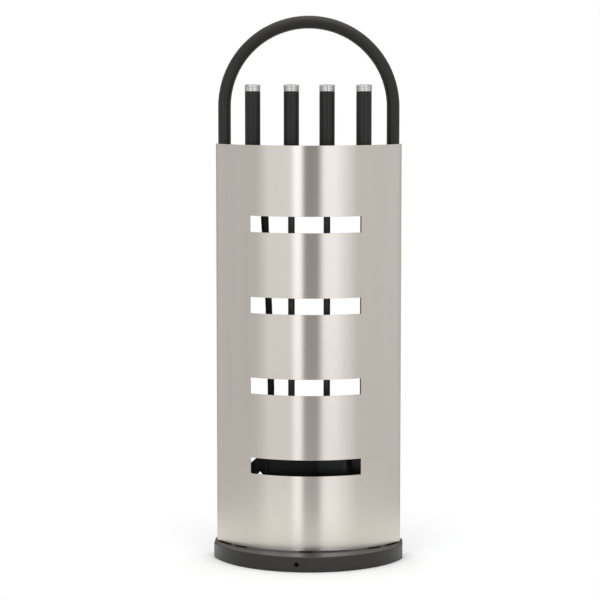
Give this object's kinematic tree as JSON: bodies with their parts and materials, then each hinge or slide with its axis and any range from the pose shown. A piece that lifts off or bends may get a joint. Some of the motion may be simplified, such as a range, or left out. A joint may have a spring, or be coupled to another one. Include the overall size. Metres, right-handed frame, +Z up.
{
  "type": "fireside companion set",
  "caption": "Free-standing fireside companion set: hoop-handled stand with curved slotted steel front, and lift-out tongs, shovel, brush and poker.",
  "frame": {"origin": "on the floor, at the middle of the bounding box in plan", "axes": "+Z up, front towards -Y, +X to the right seen from the front"},
  "size_m": [0.2276, 0.115, 0.6509],
  "materials": {
    "panel_steel": "vertical satin brushing",
    "ballast_iron": "as cast",
    "foot_rubber": "matt",
    "fastener_zinc": "zinc plated",
    "grip": "matt",
    "cap_steel": "polished with turned rings",
    "bristle_nylon": "bristle",
    "block_plastic": "satin",
    "base_paint": "fine powder coat",
    "frame_paint": "fine powder coat",
    "tool_paint": "satin black"
  },
  "bodies": {
    "stand": {"base": "base_paint", "ballast": "ballast_iron", "foot_fl": "foot_rubber", "foot_fr": "foot_rubber", "foot_bl": "foot_rubber", "foot_br": "foot_rubber", "foot_screws": "fastener_zinc", "skirt_screw": "frame_paint", "hoop": "frame_paint", "hoop_plug_l": "fastener_zinc", "hoop_plug_r": "fastener_zinc", "hoop_bolts": "fastener_zinc", "hoop_washers": "fastener_zinc", "front_panel": "panel_steel", "clip_ul": "frame_paint", "clip_ur": "frame_paint", "clip_ll": "frame_paint", "clip_lr": "frame_paint", "clip_screws": "fastener_zinc", "panel_tab_l": "frame_paint", "panel_tab_c": "frame_paint", "panel_tab_r": "frame_paint", "tab_screws": "fastener_zinc", "hook_rail": "frame_paint", "rail_screws": "fastener_zinc"},
    "tongs": {"tongs_grip": "grip", "tongs_cap": "cap_steel", "tongs_hanger": "tool_paint", "tongs_rod": "tool_paint", "tongs_yoke": "tool_paint", "tongs_pins": "fastener_zinc", "tongs_spring": "fastener_zinc"},
    "tongs_left": {"tongs_leg_l": "tool_paint", "tongs_jaw_l": "tool_paint", "tongs_rivets_l": "fastener_zinc"},
    "tongs_right": {"tongs_leg_r": "tool_paint", "tongs_jaw_r": "tool_paint", "tongs_rivets_r": "fastener_zinc"},
    "shovel": {"shovel_grip": "grip", "shovel_cap": "cap_steel", "shovel_hanger": "tool_paint", "shovel_rod": "tool_paint", "shovel_pan": "tool_paint", "shovel_rivets": "fastener_zinc"},
    "brush": {"brush_grip": "grip", "brush_cap": "cap_steel", "brush_hanger": "tool_paint", "brush_rod": "tool_paint", "brush_block": "block_plastic", "brush_bristles": "bristle_nylon"},
    "poker": {"poker_grip": "grip", "poker_cap": "cap_steel", "poker_hanger": "tool_paint", "poker_rod": "tool_paint", "poker_blade": "tool_paint", "poker_rivets": "fastener_zinc"}
  },
  "joints": [
    {"name": "tongs_lift", "type": "slide", "parent": "stand", "child": "tongs", "axis": [0, 0, 1], "range_m": [0, 0.64]},
    {"name": "shovel_lift", "type": "slide", "parent": "stand", "child": "shovel", "axis": [0, 0, 1], "range_m": [0, 0.64]},
    {"name": "brush_lift", "type": "slide", "parent": "stand", "child": "brush", "axis": [0, 0, 1], "range_m": [0, 0.64]},
    {"name": "poker_lift", "type": "slide", "parent": "stand", "child": "poker", "axis": [0, 0, 1], "range_m": [0, 0.64]},
    {"name": "tongs_squeeze", "type": "hinge", "parent": "tongs", "child": "tongs_right", "pos_m": [-0.0575, 0.0145, 0.433], "axis": [0, 1, 0], "range_deg": [0, 2.5], "stiffness_Nm_per_rad": 1.5},
    {"name": "tongs_squeeze_left", "type": "hinge", "parent": "tongs", "child": "tongs_left", "pos_m": [-0.0735, 0.0145, 0.433], "axis": [0, -1, 0], "range_deg": [0, 2.5], "stiffness_Nm_per_rad": 1.5}
  ],
  "couplings": [
    {"joint": "tongs_squeeze_left", "follows": "tongs_squeeze", "ratio": 1}
  ]
}
